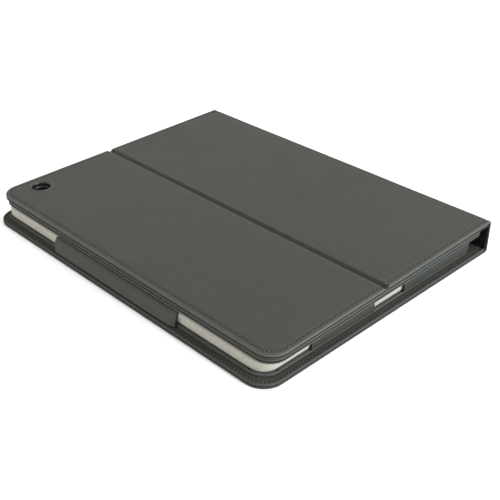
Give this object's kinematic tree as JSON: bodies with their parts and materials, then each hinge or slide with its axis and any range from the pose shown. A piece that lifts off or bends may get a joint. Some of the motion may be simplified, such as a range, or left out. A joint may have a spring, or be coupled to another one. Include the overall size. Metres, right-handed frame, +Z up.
{
  "type": "tablet folio case",
  "caption": "Closed leather-covered folio case for a tablet, with a creased stand flap, a spine, a sewn tablet holder and a packing insert.",
  "frame": {"origin": "centre of the footprint on the table, with the case closed and its front cover down", "axes": "+X along the spine towards the dock end, +Y towards the spine, +Z up out of the back cover"},
  "size_m": [0.2516, 0.2004, 0.0226],
  "materials": {
    "leather": "fine matt grain, slight sheen",
    "lining": "brushed suede-like nap",
    "board": "grey bookbinding board",
    "stiffener": "thin sheet",
    "thread": "twisted polyester",
    "ring": "polished",
    "patch": "bonding cloth",
    "foam": "fine closed-cell foam"
  },
  "bodies": {
    "front_cover": {"front_cover_skin": "leather", "front_cover_board": "board", "front_cover_lining": "lining", "front_cover_top_thread": "thread", "front_cover_bobbin_thread": "thread"},
    "spine": {"spine_skin": "leather", "spine_board": "board", "spine_lining": "lining"},
    "back_panel": {"back_panel_skin": "leather", "back_panel_board": "board", "back_panel_lining": "lining", "back_panel_top_thread": "thread", "back_panel_bobbin_thread": "thread", "holder_plate_skin": "leather", "holder_plate_board": "board", "holder_plate_lining": "lining", "holder_plate_camera_ring": "ring", "holder_bond_patch": "patch", "holder_opening_wall": "leather", "holder_dock_wall": "leather", "holder_spine_wall": "leather", "holder_wall_thread": "thread", "holder_bezel_leather": "leather", "holder_bezel_stiffener": "stiffener", "holder_bezel_lining": "lining"},
    "stand_flap": {"stand_flap_skin": "leather", "stand_flap_board": "board", "stand_flap_lining": "lining", "stand_flap_top_thread": "thread", "stand_flap_bobbin_thread": "thread", "stand_flap_camera_ring": "ring"},
    "packing_insert": {"packing_insert": "foam"}
  },
  "joints": [
    {"name": "spine_hinge", "type": "hinge", "parent": "front_cover", "child": "spine", "pos_m": [0, 0.10025, 0], "axis": [-1, 0, 0], "range_deg": [0, 90]},
    {"name": "back_hinge", "type": "hinge", "parent": "spine", "child": "back_panel", "pos_m": [0, 0.10025, 0.02259], "axis": [-1, 0, 0], "range_deg": [0, 90]},
    {"name": "crease_fold", "type": "hinge", "parent": "back_panel", "child": "stand_flap", "pos_m": [0, -0.00392, 0.01966], "axis": [-1, 0, 0], "range_deg": [0, 115]},
    {"name": "insert_slide", "type": "slide", "parent": "back_panel", "child": "packing_insert", "axis": [-1, 0, 0], "range_m": [0, 0.25]}
  ]
}
